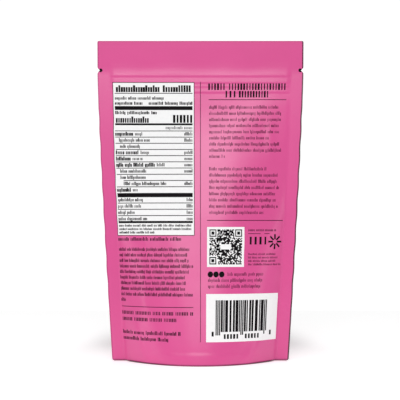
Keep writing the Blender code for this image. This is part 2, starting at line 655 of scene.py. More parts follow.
@dataclass
class Surfaces:
    """The recipes that put a point on the film, shared by all pieces."""

    rule: FilmRule
    probe: float = 0.00005
    unevenness: float = 0.00009
    patches: float = 55.0
    depth: Recipe = field(init=False)
    film_point: Recipe = field(init=False)
    print_point: Recipe = field(init=False)

    def __post_init__(self) -> None:
        """Build the three recipes, each on the one before."""
        self.depth = self.depth_recipe()
        self.film_point = self.film_point_recipe()
        self.print_point = self.print_point_recipe()

    def depth_recipe(self) -> Recipe:
        """Build the recipe for the film's distance from the middle plane.

        Returns:
            The recipe, with a Depth output.
        """
        recipe = Recipe("film depth", {"X": 0.0, "Z": 0.0, "Side": -1.0}, shapes=False)
        x, z, side = recipe["X"], recipe["Z"], recipe["Side"]
        patch = recipe.noise(recipe.vector(x, side, z), self.patches)
        uneven = self.unevenness * (2.0 * patch - 1.0)
        recipe.give("Depth", "NodeSocketFloat", self.rule.depth(x, z, side, uneven))
        return recipe

    def film_point_recipe(self) -> Recipe:
        """Build the recipe for a point at a lift over the film, along its normal.

        Returns:
            The recipe, with a Place output.
        """
        recipe = Recipe("film point", {"X": 0.0, "Z": 0.0, "Side": -1.0, "Lift": 0.0},
                        shapes=False)
        x, z, side = recipe["X"], recipe["Z"], recipe["Side"]

        def depth_at(right: Number, up: Number) -> Value:
            """Return the film's distance from the middle plane."""
            node = recipe.call(self.depth, {"X": right, "Z": up, "Side": side})
            return Value(recipe, node.outputs["Depth"])

        here = depth_at(x, z)
        middle = self.rule.middle(z)
        lean = (self.rule.middle(z + self.probe) - middle) / self.probe
        slope_x = (depth_at(x + self.probe, z) - here) / self.probe
        slope_z = (depth_at(x, z + self.probe) - here) / self.probe + side * lean
        outward = recipe.vector_maths("NORMALIZE", {0: recipe.vector(-slope_x, side, -slope_z)})
        raised = recipe.vector_maths("SCALE", {0: outward, "Scale": recipe["Lift"]})
        foot = recipe.vector(x, middle + side * here, z)
        place = recipe.vector_maths("ADD", {0: foot, 1: raised})
        recipe.give("Place", "NodeSocketVector", place)
        return recipe

    def print_point_recipe(self) -> Recipe:
        """Build the recipe that lays a point of the flat art on the shown panel.

        Returns:
            The recipe, with a Place output.
        """
        recipe = Recipe("print point", {"Art": (0.0, 0.0, 0.0)}, shapes=False)
        across, inward, up = recipe.parts(recipe["Art"])
        x, z = self.rule.print_place(across, up)
        node = recipe.call(self.film_point, {"X": x, "Z": z, "Lift": -inward,
                                             "Side": Side.SHOWN.value})
        recipe.give("Place", "NodeSocketVector", node)
        return recipe

    def lay(self, recipe: Recipe, art: object) -> bpy.types.Node:
        """Move flat art of a recipe onto the film.

        Args:
            recipe: the tree that holds the art.
            art: its geometry, all of it real.

        Returns:
            The node with the laid geometry.
        """
        here = recipe.add("GeometryNodeInputPosition")
        return recipe.move(art, Position=recipe.call(self.print_point, {"Art": here}))


class Finish(Nodes):
    """A material with one Principled shader."""

    def __init__(self, name: str) -> None:
        """Make the material and find the places on the piece.

        Args:
            name: the material's name.
        """
        self.material = bpy.data.materials.new(name)
        self.material.use_nodes = True
        super().__init__(self.material.node_tree)
        self.place = self.add("ShaderNodeTexCoord").outputs["Object"]

    def dress(self, inputs: dict) -> bpy.types.Material:
        """Feed the shader.

        Args:
            inputs: the source of each of its inputs, by name.

        Returns:
            The material.
        """
        shader = self.tree.nodes["Principled BSDF"]
        for name, given in inputs.items():
            self.feed(shader.inputs[name], given)
        return self.material


@dataclass(frozen=True)
class SatinFilm:
    """The pink laminate: satin, faintly hazed, with an edge line that is partly painted shade."""

    slot: str = "film"
    colour: tuple[float, float, float, float] = (0.703, 0.0810, 0.288, 1.0)
    deep: tuple[float, float, float, float] = (0.676, 0.0770, 0.276, 1.0)
    # Edge line: partly the dark cut edge, partly painted shade on the right side and base.
    cut_edge_and_shade: tuple[float, float, float, float] = (0.045, 0.006, 0.018, 1.0)
    roughness: float = 0.26
    roughness_swing: float = 0.02
    haze_range: tuple[float, float] = (0.35, 0.75)
    haze_patches: float = 38.0
    grain_patches: float = 900.0
    grain_height: float = 0.000012
    edge_width: float = 0.00080
    edge_shade: tuple[float, float] = (0.24, 0.92)
    top_shade: float = 0.15
    base_shade: float = 0.52
    edge_patches: float = 70.0
    edge_least: float = 0.75
    edge_swing: float = 0.5
    edge_core: float = 0.7

    def material(self, rule: FilmRule) -> bpy.types.Material:
        """Return the material.

        Args:
            rule: the film's shape, for the place of its cut edge.

        Returns:
            The material of the pouch's film.
        """
        nodes = Finish(self.slot)
        x, _, z = nodes.parts(nodes.place)
        haze = nodes.noise(nodes.place, self.haze_patches, 3.0)
        grain = nodes.noise(nodes.place, self.grain_patches)
        skin = nodes.blend(smooth_step(*self.haze_range, haze), self.colour, self.deep)
        # Painted shade: the edge line is much darker on the right side than on the left.
        left, right = self.edge_shade
        side = left + (right - left) * above(x, 0.0)
        patch = nodes.noise(nodes.place, self.edge_patches, 1.0)
        uneven = self.edge_least + self.edge_swing * patch
        shade = self.near(rule.half_width(z) - size_of(x)) * side * uneven
        shade = most(shade, self.near(rule.height - z) * self.top_shade)
        # Painted shade: the dark line along the base also stands for the contact shadow.
        shade = most(shade, self.near(z) * self.base_shade)
        colour = nodes.blend(share_of(shade), skin, self.cut_edge_and_shade)
        bump = nodes.add("ShaderNodeBump", {}, {"Height": grain, "Strength": 1.0,
                                                "Distance": self.grain_height})
        satin = self.roughness + self.roughness_swing * (2.0 * haze - 1.0)
        return nodes.dress({"Base Color": colour, "Roughness": satin, "Normal": bump})

    def near(self, distance: Value) -> Value:
        """Return 1 along a cut edge, falling to 0 at the edge line's width from it."""
        return 1.0 - smooth_step(self.edge_core * self.edge_width, self.edge_width, distance)


@dataclass(frozen=True)
class Ink:
    """A printing ink, with a slightly mottled tone."""

    slot: str
    name: str
    colour: tuple[float, float, float, float]
    mottle: tuple[float, float, float, float]
    roughness: float = 0.55
    gloss: float = 0.08
    patches: float = 700.0
    mottle_range: tuple[float, float] = (0.3, 0.8)
    roughness_swing: float = 0.06

    def material(self) -> bpy.types.Material:
        """Make the ink's material.

        Returns:
            The material.
        """
        nodes = Finish(self.name)
        spots = nodes.noise(nodes.place, self.patches, 3.0)
        share = smooth_step(*self.mottle_range, spots)
        return nodes.dress({"Base Color": nodes.blend(share, self.colour, self.mottle),
                            "Roughness": self.roughness + self.roughness_swing * spots,
                            "Specular IOR Level": self.gloss})


WHITE_INK = Ink("white_ink", "white_ink", (0.91, 0.91, 0.91, 1.0), (0.88, 0.88, 0.885, 1.0))
DARK_INK = Ink("dark_ink", "dark_ink", (0.003, 0.002, 0.003, 1.0), (0.006, 0.004, 0.006, 1.0))
STORY_INK = replace(DARK_INK, name="story_ink", colour=(0.060, 0.006, 0.025, 1.0),
                    mottle=(0.080, 0.010, 0.035, 1.0))


def mesh_of(form: bmesh.types.BMesh, name: str) -> bpy.types.Mesh:
    """Turn a finished form into a mesh.

    Args:
        form: the form, which is freed.
        name: the mesh's name.

    Returns:
        The mesh.
    """
    mesh = bpy.data.meshes.new(name)
    form.to_mesh(mesh)
    form.free()
    return mesh


# The left end, right end and height of a line, and the four sides of a slab, in millimetres.
Line = tuple[float, float, float]
Sides = tuple[float, float, float, float]


def rule_at(line: Line, half: float) -> Sides:
    """Return the sides of a rule of a half thickness along a line."""
    left, right, up = line
    return left, right, up - half, up + half


@dataclass(frozen=True)
class Paragraph:
    """Ragged lines that start under one another.  Lengths are in millimetres."""

    left: float
    top: float
    pitch: float
    lengths: tuple[float, ...]

    def lines(self) -> list[Line]:
        """Return the left end, right end and height of each line."""
        return [(self.left, self.left + length, self.top - row * self.pitch)
                for row, length in enumerate(self.lengths)]


class Art:
    """Flat art of one ink: X runs across, Z up, and Y is minus the lift over the film."""

    def __init__(self) -> None:
        """Start with no shape."""
        self.form = bmesh.new()

    def thicken(self, flat: list[bmesh.types.BMVert], layer: Layer) -> None:
        """Give new flat faces the thickness of a layer.

        Args:
            flat: the corners of the faces, which lie at Y = 0.
            layer: the layer that they become.
        """
        low, high = layer.value
        faces = list({face for corner in flat for face in corner.link_faces})
        grown = bmesh.ops.extrude_face_region(self.form, geom=faces, use_keep_orig=True)
        for item in grown["geom"]:
            if isinstance(item, bmesh.types.BMVert):
                item.co.y = -high
        for corner in flat:
            corner.co.y = -low

    def slab(self, left: float, right: float, low: float, high: float, layer: Layer,
             turn: float = 0.0) -> None:
        """Add a thin slab.

        Args:
            left: its left side, in millimetres, as the other places are.
            right: its right side.
            low: its lower side.
            high: its upper side.
            layer: the layer that it is printed in.
            turn: degrees that it is turned about its own middle.
        """
        steps_x = max(1, math.ceil((right - left) / FACE_EDGE))
        edge = ZIP_FACE_EDGE if high > ZIP_START else FACE_EDGE
        steps_z = max(1, math.ceil((high - low) / edge))
        place = (Matrix.Translation((0.5 * (left + right) * MM, 0.0, 0.5 * (low + high) * MM))
                 @ Matrix.Rotation(math.radians(turn), 4, "Y")
                 @ Matrix.Diagonal(((right - left) * MM, 1.0, (high - low) * MM, 1.0))
                 @ UPRIGHT)
        made = bmesh.ops.create_grid(self.form, x_segments=steps_x, y_segments=steps_z,
                                     size=0.5, matrix=place)
        self.thicken(made["verts"], layer)

    def disc(self, across: float, up: float, radius: float, layer: Layer,
             corners: int = 20) -> None:
        """Add a thin round plate.

        Args:
            across: its middle, in millimetres, as the other places are.
            up: its middle's height.
            radius: its radius.
            layer: the layer that it is printed in.
            corners: how many corners it has.
        """
        place = Matrix.Translation((across * MM, 0.0, up * MM)) @ UPRIGHT
        made = bmesh.ops.create_circle(self.form, cap_ends=True, segments=corners,
                                       radius=radius * MM, matrix=place)
        self.thicken(made["verts"], layer)

    def mesh(self, name: str) -> bpy.types.Mesh:
        """Close the art and return it as a mesh."""
        bmesh.ops.recalc_face_normals(self.form, faces=self.form.faces[:])
        return mesh_of(self.form, name)


@dataclass(frozen=True)
class Face:
    """A style of plain marks that stand for type.  Lengths are in millimetres.

    Where it has no lengths for words, a line is one word.
    """

    pitch: float
    height: float
    rise: float = 0.0
    drop: float = 0.0
    tall_share: float = 0.0
    deep_share: float = 0.0
    narrow: float = 0.40
    wide: float = 0.82
    rows: int = 2
    words: tuple[int, int] | None = None

    @property
    def sizes(self) -> dict[str, float | int]:
        """Return this style as inputs of the recipe for marks."""
        return {"Pitch": self.pitch * MM, "Height": self.height * MM, "Rise": self.rise * MM,
                "Drop": self.drop * MM, "Tall Share": self.tall_share,
                "Deep Share": self.deep_share, "Narrow": self.narrow, "Wide": self.wide,
                "Rows": self.rows}


HEAVY = Face(pitch=1.22, height=2.5, rise=0.85, tall_share=0.45, narrow=0.68, wide=0.96,
             rows=11)
HEADING = Face(pitch=1.40, height=3.25, narrow=0.36, wide=0.70, rows=11)
LARGE = Face(pitch=1.10, height=2.3, rise=0.8, tall_share=0.35, narrow=0.58, wide=0.90,
             words=(14, 18))
FIGURES = Face(pitch=1.55, height=3.9, narrow=0.56, wide=0.84)
BADGE_BLOCKS = Face(pitch=2.6, height=3.7, narrow=0.30, wide=0.50)
STRIP_BLOCKS = Face(pitch=1.65, height=2.15, narrow=0.50, wide=0.72)
BOLD = Face(pitch=0.74, height=1.42, rise=0.50, drop=0.3, tall_share=0.3, deep_share=0.08,
            narrow=0.66, wide=0.98, words=(5, 16))
SPACED = replace(BOLD, height=1.20, rise=0.35, narrow=0.54, wide=0.88)
PLAIN = Face(pitch=0.60, height=1.15, rise=0.55, drop=0.4, tall_share=0.26, deep_share=0.08,
             narrow=0.50, wide=0.82, words=(5, 16))
STORY = Face(pitch=0.58, height=1.15, rise=0.50, drop=0.40, tall_share=0.26, deep_share=0.08,
             narrow=0.34, wide=0.64, words=(5, 18))
NARROW = Face(pitch=0.45, height=1.20, rise=0.45, drop=0.30, tall_share=0.28, deep_share=0.06,
              narrow=0.38, wide=0.70, words=(5, 16))
CAPITALS = Face(pitch=0.88, height=1.60, narrow=0.36, wide=0.66, words=(4, 10))
SMALL = Face(pitch=0.52, height=0.95, narrow=0.32, wide=0.60, words=(5, 12))
TINY = Face(pitch=0.42, height=0.86, rise=0.28, tall_share=0.3, narrow=0.46, wide=0.84,
            words=(4, 14))
LIGHT = Face(pitch=0.42, height=0.72, rise=0.25, tall_share=0.3, narrow=0.28, wide=0.54,
             words=(4, 14))
CONTACT = replace(STORY, narrow=0.28, wide=0.52)
FAINT = replace(PLAIN, narrow=0.38, wide=0.60)
CLOSING = replace(BOLD, height=1.25, narrow=0.42, wide=0.76)


def cut_into_words(face: Face, seed: int, lines: Iterable[Line]) -> bmesh.types.BMesh:
    """Fill lines with words, as edges of the flat art.

    Args:
        face: the style of the marks.
        seed: the seed of the words' lengths.
        lines: where each line's first mark starts, where its last one ends, and the middle
            of its low marks.  Where a line is one word, its ends are the marks' middles.

    Returns:
        A form with an edge for each word, from its first mark's middle to its last one's.
    """
    draw = random.Random(seed)
    form = bmesh.new()
    for left, right, up in lines:
        words = []
        if face.words is None:
            words.append((left, right))
        else:
            cells = max(2, round((right - left) / face.pitch))
            step = (right - left) / cells
            start = 0
            while start < cells:
                length = draw.randint(*face.words)
                if cells - start - length < LEAST_REST:
                    length = cells - start
                words.append((left + (start + 0.5) * step, left + (start + length - 0.5) * step))
                start += length + 1
        for ends in words:
            form.edges.new([form.verts.new((end * MM, 0.0, up * MM)) for end in ends])
    return form


class Press:
    """Prints the flat art on the film, piece by piece."""

    def __init__(self, surfaces: Surfaces) -> None:
        """Build the recipes for laid slabs, type, square codes and bar strips.

        Args:
            surfaces: the recipes that put a point on the film.
        """
        self.surfaces = surfaces
        self.slabs = Recipe("laid slabs", {})
        self.slabs.close(surfaces.lay(self.slabs, self.slabs["Geometry"]))
        self.marks = self.mark_recipe()
        self.modules = self.module_recipe()
        self.bars = self.bar_recipe()
        self.finishes: dict[str, bpy.types.Material] = {}

    def close_with_boxes(self, recipe: Recipe, points: object, box: tuple[Number, ...],
                         rows: Number = 2) -> None:
        """End a recipe with a box on each point, all laid on the film.

        Args:
            recipe: the tree that holds the points.
            points: the points, in the flat art.
            box: the width, thickness and height of each box.
            rows: how many rows of corners a box has.
        """
        cube = recipe.add("GeometryNodeMeshCube", {},
                          {"Size": (1.0, 1.0, 1.0), "Vertices Z": rows})
        placed = recipe.add("GeometryNodeInstanceOnPoints", {},
                            {"Points": points, "Instance": cube, "Scale": recipe.vector(*box)})
        real = recipe.add("GeometryNodeRealizeInstances", {}, {"Geometry": placed})
        recipe.close(self.surfaces.lay(recipe, real))

    def mark_recipe(self) -> Recipe:
        """Build the recipe for marks of type along the words' edges.

        Returns:
            The recipe.
        """
        recipe = Recipe("type marks", {**PLAIN.sizes, **Layer.DIRECT.sizes, "Seed": 0})
        words = recipe.add("GeometryNodeMeshToCurve", {}, {"Mesh": recipe["Geometry"]})
        dots = recipe.add("GeometryNodeResampleCurve", {"mode": "LENGTH"},
                          {"Curve": words, "Length": LINE_SLACK * recipe["Pitch"]})
        chance = recipe.draw(recipe["Seed"])
        spread = recipe.draw(recipe["Seed"] + 1.0)
        tall = above(recipe["Tall Share"], chance) * recipe["Rise"]
        deep = above(chance, 1.0 - recipe["Deep Share"]) * recipe["Drop"]
        middle, thick = recipe.layer()
        moved = recipe.move(dots, Offset=recipe.vector(0.0, middle, 0.5 * (tall - deep)))
        width = recipe["Pitch"] * (recipe["Narrow"]
                                   + (recipe["Wide"] - recipe["Narrow"]) * spread)
        box = (width, thick, recipe["Height"] + tall + deep)
        self.close_with_boxes(recipe, moved, box, recipe["Rows"])
        return recipe

    def module_recipe(self) -> Recipe:
        """Build the recipe for a square field of small modules with three corner squares.

        Returns:
            The recipe.
        """
        recipe = Recipe("square code", {
            "Modules": 33, "Module": 0.0005, "Left": 0.0, "Bottom": 0.0, "Filled": 0.68,
            **Layer.OVERPRINT.sizes, "Seed": 0})
        last = recipe["Modules"] - 1.0
        column, row = recipe.cell(last, last)
        dark = above(recipe["Filled"], recipe.draw(recipe["Seed"]))
        core, hollow, ring, clear = 1.5, 2.5, 3.5, 4.5
        near, far = 3.0, last - 3.0
        for corner_column, corner_row in ((near, near), (near, far), (far, far)):
            away = most(size_of(column - corner_column), size_of(row - corner_row))
            square = above(away, hollow) * above(ring, away) + above(core, away)
            outside = above(away, clear)
            dark = dark * outside + square * (1.0 - outside)
        half_gap_across, half_gap_up = 6.0, 2.6
        gap = (above(half_gap_across, size_of(column - 0.5 * last))
               * above(half_gap_up, size_of(row - 0.5 * last)))
        kept = recipe.add("GeometryNodeDeleteGeometry", {"domain": "POINT"}, {
            "Geometry": recipe.grid(last, last), "Selection": above(0.5, dark * (1.0 - gap))})
        middle, thick = recipe.layer()
        side = recipe["Module"]
        place = recipe.vector(recipe["Left"] + (column + 0.5) * side, middle,
                              recipe["Bottom"] + (row + 0.5) * side)
        self.close_with_boxes(recipe, recipe.move(kept, Position=place), (side, thick, side))
        return recipe

    def bar_recipe(self) -> Recipe:
        """Build the recipe for upright bars on the points of a mesh that say their widths.

        Returns:
            The recipe.
        """
        recipe = Recipe("bar strip", {"Height": 0.015, "Guard Drop": 0.002, "Rows": 12,
                                      **Layer.OVERPRINT.sizes})
        width, guard = (
            Value(recipe, recipe.add("GeometryNodeInputNamedAttribute", {"data_type": "FLOAT"},
                                     {"Name": name}).outputs[0])
            for name in ("bar_width", "guard"))
        drop = guard * recipe["Guard Drop"]
        middle, thick = recipe.layer()
        moved = recipe.move(recipe["Geometry"], Offset=recipe.vector(0.0, middle, -0.5 * drop))
        box = (width, thick, recipe["Height"] + drop)
        self.close_with_boxes(recipe, moved, box, recipe["Rows"])
        return recipe

    def run(self, recipe: Recipe, name: str, base: bpy.types.Mesh, ink: Ink,
            sizes: dict[str, float | int]) -> None:
        """Run a recipe in one ink and settle the piece.

        Args:
            recipe: the recipe.
            name: the piece's name.
            base: the mesh that the recipe starts from.
            ink: the ink that the piece is printed in.
            sizes: what the recipe's named inputs are set to.
        """
        if ink.name not in self.finishes:
            self.finishes[ink.name] = ink.material()
        settle(recipe.make(name, base, self.finishes[ink.name], sizes))

    def print_art(self, name: str, art: Art, ink: Ink = DARK_INK) -> None:
        """Print flat art in one ink."""
        self.run(self.slabs, name, art.mesh(name), ink, {})

    def print_slabs(self, name: str, ink: Ink, layer: Layer, slabs: Iterable[Sides]) -> None:
        """Print slabs in one ink.

        Args:
            name: the piece's name.
            ink: the ink that they are printed in.
            layer: the layer that they are printed in.
            slabs: the left, right, lower and upper side of each slab.
        """
        art = Art()
        for sides in slabs:
            art.slab(*sides, layer)
        self.print_art(name, art, ink)

    def print_lines(self, name: str, face: Face, seeds: tuple[int, int],
                    lines: Iterable[Line], ink: Ink = DARK_INK,
                    layer: Layer = Layer.DIRECT) -> None:
        """Print lines of marks.

        Args:
            name: the piece's name.
            face: the style of the marks.
            seeds: the seed of the words' lengths and that of the marks' sizes.
            lines: the left end, right end and height of each line.
            ink: the ink that they are printed in.
            layer: the layer that they are printed in.
        """
        word_seed, mark_seed = seeds
        base = mesh_of(cut_into_words(face, word_seed, lines), name)
        sizes = {**face.sizes, **layer.sizes, "Seed": mark_seed}
        self.run(self.marks, name, base, ink, sizes)


def settle(piece: bpy.types.Object) -> None:
    """Tie a finished piece to the frame and report it.

    Args:
        piece: the piece, whose mesh is final.
    """
    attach(piece, BODY)
    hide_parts(NODE)
    log.info("%s: %d faces", piece.name, len(piece.data.polygons))


@dataclass
class FilmBody:
    """The pouch's own film: two panels, their seals and the gusset, as one closed skin."""

    surfaces: Surfaces
    finish: SatinFilm = SatinFilm()
    seal_columns: int = 9
    panel_columns: int = 124
    edge_share: float = 0.02
    row_bands: tuple[tuple[float, int], ...] = (
        (0.0010, 5), (0.0085, 15), (0.0400, 36), (0.1285, 92),
        (0.1421, 48), (0.1460, 14))
    header_rows: int = 10
    corner_rows: int = 5
    gusset_steps: int = 24
    gusset_rise: float = 0.0035
    gusset_power: float = 1.2
    gusset_full_depth: float = 0.012
    rim_width: float = 0.003
    rim_share: float = 0.4
    weld: float = 0.000002
    crisp_angle: float = 48.0

    def column_place(self, recipe: Recipe, column: Value, z: Number) -> tuple[Value, Value]:
        """Say where a column of the mesh stands.

        Args:
            recipe: the film's tree.
            column: the column's number, from the left.
            z: the height.

        Returns:
            Its X, and its number counted from the nearer side.
        """
        rule = self.surfaces.rule
        columns = recipe["Columns"]
        seal = recipe["Seal Columns"]
        from_edge = least(column, columns - column)
        inner = rule.half_width(z) - recipe["Side Seal"]
        edge = recipe["Side Seal"] - rule.notch(z)
        first = self.edge_share * share_of(from_edge)
        rest = (1.0 - self.edge_share) * share_of((from_edge - 1.0) / (seal - 1.0))
        across = share_of((from_edge - seal) / (0.5 * columns - seal))
        distance = inner * (1.0 - across) + edge * (1.0 - first - rest)
        sign = 2.0 * above(column, 0.5 * columns) - 1.0
        return sign * distance, from_edge

    def all_rows(self) -> list[tuple[float, int]]:
        """Complete the bands of rows up to the header's top edge.

        Returns:
            The top of each band and how many rows it has.
        """
        rule = self.surfaces.rule
        corner = (rule.height - rule.top_corner, self.header_rows)
        return [*self.row_bands, corner, (rule.height, self.corner_rows)]

    def row_height(self, row: Value) -> Number:
        """Return the height of a row, from the bands of rows.

        Args:
            row: the row's number, from the base.

        Returns:
            Its height.
        """
        height: Number = 0.0
        start, below = 0, 0.0
        for top, count in self.all_rows():
            height = height + (top - below) * share_of((row - float(start)) / float(count))
            start, below = start + count, top
        return height

    def recipe(self) -> Recipe:
        """Build the recipe for the whole skin.

        Returns:
            The recipe.
        """
        rule = self.surfaces.rule
        columns = self.panel_columns + 2 * self.seal_columns
        rows = sum(count for _, count in self.all_rows())
        recipe = Recipe("pouch film", {
            "Columns": columns, "Seal Columns": self.seal_columns, "Rows": rows,
            "Side Seal": rule.side_seal, "Gusset Steps": self.gusset_steps,
            "Gusset Rise": self.gusset_rise, "Rim Width": self.rim_width, "Weld": self.weld})
        column, row = recipe.cell(recipe["Columns"], recipe["Rows"])
        z = self.row_height(row)
        x, from_edge = self.column_place(recipe, column, z)
        open_part = above(from_edge, 0.5) * above(recipe["Rows"] - 0.5, row)
        middle = rule.middle(z)
        panels = []
        for side in Side:
            spot = recipe.call(self.surfaces.film_point, {"X": x, "Z": z, "Side": side.value})
            film_x, film_y, film_z = recipe.parts(spot)
            place = recipe.vector(film_x, middle + (film_y - middle) * open_part, film_z)
            grid = recipe.grid(recipe["Columns"], recipe["Rows"])
            panels.append(recipe.move(grid, Position=place))
        panels[1] = recipe.add("GeometryNodeFlipFaces", {}, {"Mesh": panels[1]})
        panels.append(self.gusset(recipe))
        joined = recipe.add("GeometryNodeJoinGeometry")
        for panel in panels:
            recipe.feed(joined.inputs[0], panel)
        welded = recipe.add("GeometryNodeMergeByDistance", {},
                            {"Geometry": joined, "Distance": recipe["Weld"]})
        recipe.close(welded)
        return recipe

    def gusset(self, recipe: Recipe) -> bpy.types.Node:
        """Add the base: a flat rim and, inside it, a gusset that rises to its middle fold.

        Args:
            recipe: the film's tree.

        Returns:
            The node with the base.
        """
        steps = recipe["Gusset Steps"]
        column, step = recipe.cell(recipe["Columns"], steps)
        x, from_edge = self.column_place(recipe, column, 0.0)
        film = recipe.call(self.surfaces.depth, {"X": x, "Z": 0.0, "Side": Side.SHOWN.value})
        depth = Value(recipe, film.outputs["Depth"]) * above(from_edge, 0.5)
        rim = least(recipe["Rim Width"], self.rim_share * depth)
        inside = depth - rim
        way = 2.0 * share_of((step - 1.0) / (steps - 2.0)) - 1.0
        outer = above(step, steps - 0.5) - above(0.5, step)
        rise = (recipe["Gusset Rise"] * (1.0 - power(size_of(way), self.gusset_power))
                * least(1.0, inside / self.gusset_full_depth))
        place = recipe.vector(x, way * inside + outer * rim, rise)
        return recipe.move(recipe.grid(recipe["Columns"], steps), Position=place)

    def build(self) -> None:
        """Make the film, close its normals and shade it."""
        finish = self.finish.material(self.surfaces.rule)
        base = bpy.data.meshes.new("film_base")
        film = self.recipe().make("pouch_film", base, finish, {})
        form = bmesh.new()
        form.from_mesh(film.data)
        bmesh.ops.recalc_face_normals(form, faces=form.faces[:])
        form.to_mesh(film.data)
        form.free()
        film.data.shade_smooth()
        film.data.set_sharp_from_angle(angle=math.radians(self.crisp_angle))
        settle(film)


@dataclass(frozen=True)
class FactsPanel:
    """The white panel of ruled rows, at the upper left.  Lengths are in millimetres.

    Rows and lines of type start from the left margin.  A row has an indent, the lengths of
    its bold and its plain part, and whether a value stands at its right end.  A bar has its
    height and thickness, and a run of rules has the height of its first and how many it has.
    """

    left: float = -43.35
    right: float = -3.3
    low: float = 60.6
    high: float = 135.8
    outline: float = 0.30
    margin: float = 0.65
    row_pitch: float = 3.08
    rule_half: float = 0.18
    rule_runs: tuple[tuple[float, int], ...] = ((130.6, 1), (111.88, 10), (76.2, 3))
    short_rule: int = 8
    short_rule_indent: float = 3.6
    first_row: float = 110.2
    late_row: float = 77.6
    bars: tuple[tuple[float, float], ...] = (
        (123.25, 1.90), (115.2, 0.95), (80.08, 2.05), (66.9, 1.05))
    rows: tuple[tuple[float, float, float, bool], ...] = (
        (0.0, 9.0, 3.8, True), (1.7, 0.0, 15.7, True), (2.1, 0.0, 10.2, False),
        (0.0, 11.6, 4.4, True), (0.0, 7.6, 5.2, True), (0.0, 19.8, 4.0, True),
        (1.8, 0.0, 13.5, True), (1.8, 0.0, 13.2, False), (3.5, 0.0, 22.0, True),
        (0.0, 7.3, 2.6, False))
    late_rows: tuple[float, ...] = (13.3, 12.3, 9.0, 15.4)
    part_gap: float = 0.9
    value: float = 4.2
    late_value: float = 3.2
    mark_seed: int = 11
    type_lines: tuple[tuple[str, Face, int, tuple[Line, ...]], ...] = (
        ("heavy", HEAVY, 3, ((1.2, 21.9, 132.45), (24.5, 37.35, 132.45))),
        ("large", LARGE, 4, ((0.2, 16.9, 117.1),)),
        ("figures", FIGURES, 5, ((29.55, 38.05, 117.9),)),
        ("bold", BOLD, 6, ()),
        ("spaced", SPACED, 9, ((0.0, 13.9, 125.5), (16.8, 38.75, 125.5), (0.0, 21.0, 120.8))),
        ("faint", FAINT, 10, ((25.25, 38.75, 113.3),)),
        ("plain", PLAIN, 7, ((0.0, 24.4, 128.0),)),
        ("tiny", TINY, 8, ((0.0, 38.0, 65.1), (0.0, 38.0, 63.42), (0.0, 19.0, 61.74))))

    def build(self, press: Press) -> None:
        """Print the panel, its rules and its type, one piece for each weight.

        Args:
            press: what prints it.
        """
        low, high, out = self.low, self.high, self.outline
        press.print_slabs("facts_outline", DARK_INK, Layer.GROUND,
                          [(self.left - out, self.right + out, low - out, high + out)])
        press.print_slabs("facts_panel", WHITE_INK, Layer.PANEL,
                          [(self.left, self.right, low, high)])
        press.print_slabs("facts_rules", DARK_INK, Layer.OVERPRINT, self.rules())
        rows = self.row_lines()
        start = self.left + self.margin
        for name, face, seed, lines in self.type_lines:
            placed = [(start + left, start + right, up) for left, right, up in lines]
            press.print_lines(f"facts_type_{name}", face, (seed, self.mark_seed),
                              [*placed, *rows.get(name, ())], layer=Layer.OVERPRINT)

    def rules(self) -> list[Sides]:
        """Place the thick bars and thin rules.

        Returns:
            The sides of each of them.
        """
        left, right = self.left + self.margin, self.right - self.margin
        slabs = [rule_at((left, right, up), 0.5 * thick) for up, thick in self.bars]
        for first, count in self.rule_runs:
            for row in range(count):
                start = left + (self.short_rule_indent if row == self.short_rule else 0.0)
                line = start, right, first - self.row_pitch * row
                slabs.append(rule_at(line, self.rule_half))
        return slabs

    def row_lines(self) -> dict[str, list[Line]]:
        """Place the type of the rows.

        Returns:
            The lines of each weight.
        """
        left, right = self.left + self.margin, self.right - self.margin
        bold, plain = [], []
        for row, (indent, strong, light, value) in enumerate(self.rows):
            start, up = left + indent, self.first_row - self.row_pitch * row
            if strong:
                bold.append((start, start + strong, up))
                start += strong + self.part_gap
            plain.append((start, start + light, up))
            if value:
                plain.append((right - self.value, right, up))
        for row, length in enumerate(self.late_rows):
            up = self.late_row - self.row_pitch * row
            plain += [(left, left + length, up), (right - self.late_value, right, up)]
        return {"bold": bold, "plain": plain}


@dataclass(frozen=True)
class StoryColumn:
    """The right column: a heading, two paragraphs and its rules.  In millimetres."""

    heading: tuple[Line, ...] = (
        (3.6, 12.4, 133.9), (13.8, 42.6, 133.9), (12.2, 17.7, 130.15), (18.9, 34.1, 130.15))
    rules: tuple[Line, ...] = ((4.1, 42.8, 127.4), (3.4, 43.0, 67.7))
    rule_half: float = 0.17
    paragraphs: tuple[Paragraph, ...] = (
        Paragraph(4.3, 123.5, 3.06, (34.6, 36.1, 36.1, 35.0, 35.0, 29.9, 35.4, 36.4, 7.9)),
        Paragraph(4.3, 92.8, 3.06, (29.2, 35.1, 34.6, 35.9, 34.0, 34.5, 35.8, 28.1)))

    def build(self, press: Press) -> None:
        """Print the column.

        Args:
            press: what prints it.
        """
        inset = 0.5 * HEADING.pitch
        heading = [(left + inset, right - inset, up) for left, right, up in self.heading]
        press.print_lines("story_heading", HEADING, (21, 12), heading)
        press.print_slabs("story_rules", STORY_INK, Layer.DIRECT,
                          [rule_at(rule, self.rule_half) for rule in self.rules])
        lines = [line for part in self.paragraphs for line in part.lines()]
        press.print_lines("story_lines", STORY, (22, 13), lines, STORY_INK)


